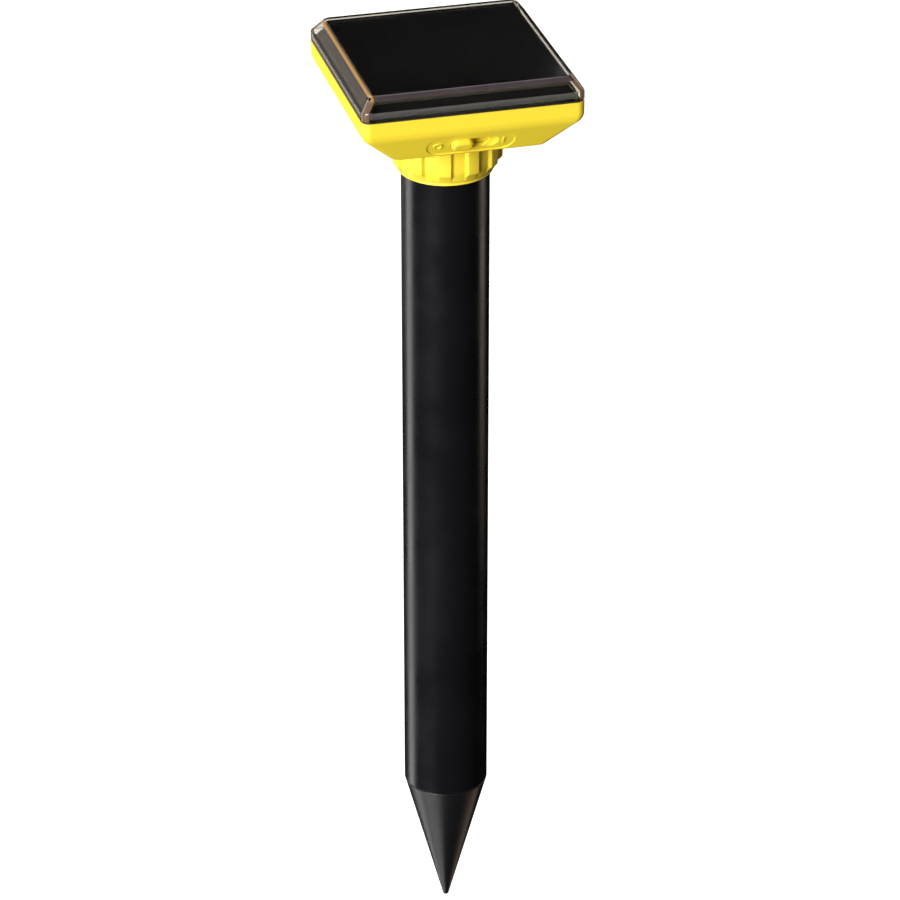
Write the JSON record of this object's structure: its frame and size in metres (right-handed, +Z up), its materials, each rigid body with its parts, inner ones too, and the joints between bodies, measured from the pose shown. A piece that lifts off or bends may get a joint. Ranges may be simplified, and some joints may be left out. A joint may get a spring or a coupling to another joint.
{
  "type": "solar sonic pest repeller stake",
  "caption": "Garden stake that drives burrowing pests away with sound: a solar head with a slide switch, a grip collar, and a long tube that ends in a pointed spike.",
  "frame": {"origin": "on the tube's axis at the soil line, 20 mm below the foot of the collar", "axes": "+Z up along the tube to the solar head, -Y out of the side with the switch, X along that side"},
  "size_m": [0.09, 0.092, 0.4078],
  "materials": {
    "yellow_abs": "satin",
    "clear_polycarbonate": "polished and clear",
    "black_rubber": "matte",
    "solar_glass": "polished, with dark cells under it",
    "black_abs": "satin",
    "zinc_steel": "zinc plated",
    "nickel_steel": "nickel plated",
    "red_wire": "satin",
    "green_laminate": "solder mask",
    "chip_resin": "matte",
    "ferrite": "sintered, matte",
    "capacitor_sleeve": "shrink sleeve",
    "cell_sleeve": "shrink sleeve",
    "natural_nylon": "satin",
    "black_tube": "smooth extruded plastic",
    "black_spike": "satin",
    "paper_cone": "pressed film, matte",
    "grey_foam": "open-cell foam"
  },
  "bodies": {
    "stake": {"housing": "yellow_abs", "clear_cover": "clear_polycarbonate", "cover_gasket": "black_rubber", "solar_panel": "solar_glass", "panel_tray": "black_abs", "tray_screws": "zinc_steel", "panel_leads": "red_wire", "circuit_board": "green_laminate", "board_screws": "zinc_steel", "driver_chip": "chip_resin", "charge_choke": "ferrite", "smoothing_capacitor": "capacitor_sleeve", "switch_leads": "red_wire", "cell_front": "cell_sleeve", "cell_rear": "cell_sleeve", "holder_front": "black_abs", "holder_rear": "black_abs", "contact_plates": "nickel_steel", "contact_springs": "nickel_steel", "switch_body": "nickel_steel", "switch_screws": "zinc_steel", "collar_clip": "nickel_steel", "neck_seal": "black_rubber", "tube": "black_tube", "spike": "black_spike", "sounder_case": "black_abs", "sounder_magnet": "ferrite", "sounder_cone": "paper_cone", "foam_ring_top": "grey_foam", "foam_ring_bottom": "grey_foam", "sounder_leads": "red_wire"},
    "collar": {"collar": "yellow_abs"},
    "switch": {"switch_knob": "yellow_abs", "knob_carrier": "yellow_abs", "switch_lever": "natural_nylon"}
  },
  "joints": [
    {"name": "collar_turn", "type": "hinge", "parent": "stake", "child": "collar", "pos_m": [0, 0, 0.0301], "axis": [0, 0, 1], "range_deg": [0, 30]},
    {"name": "switch_slide", "type": "slide", "parent": "stake", "child": "switch", "axis": [1, 0, 0], "range_m": [0, 0.0068]}
  ]
}
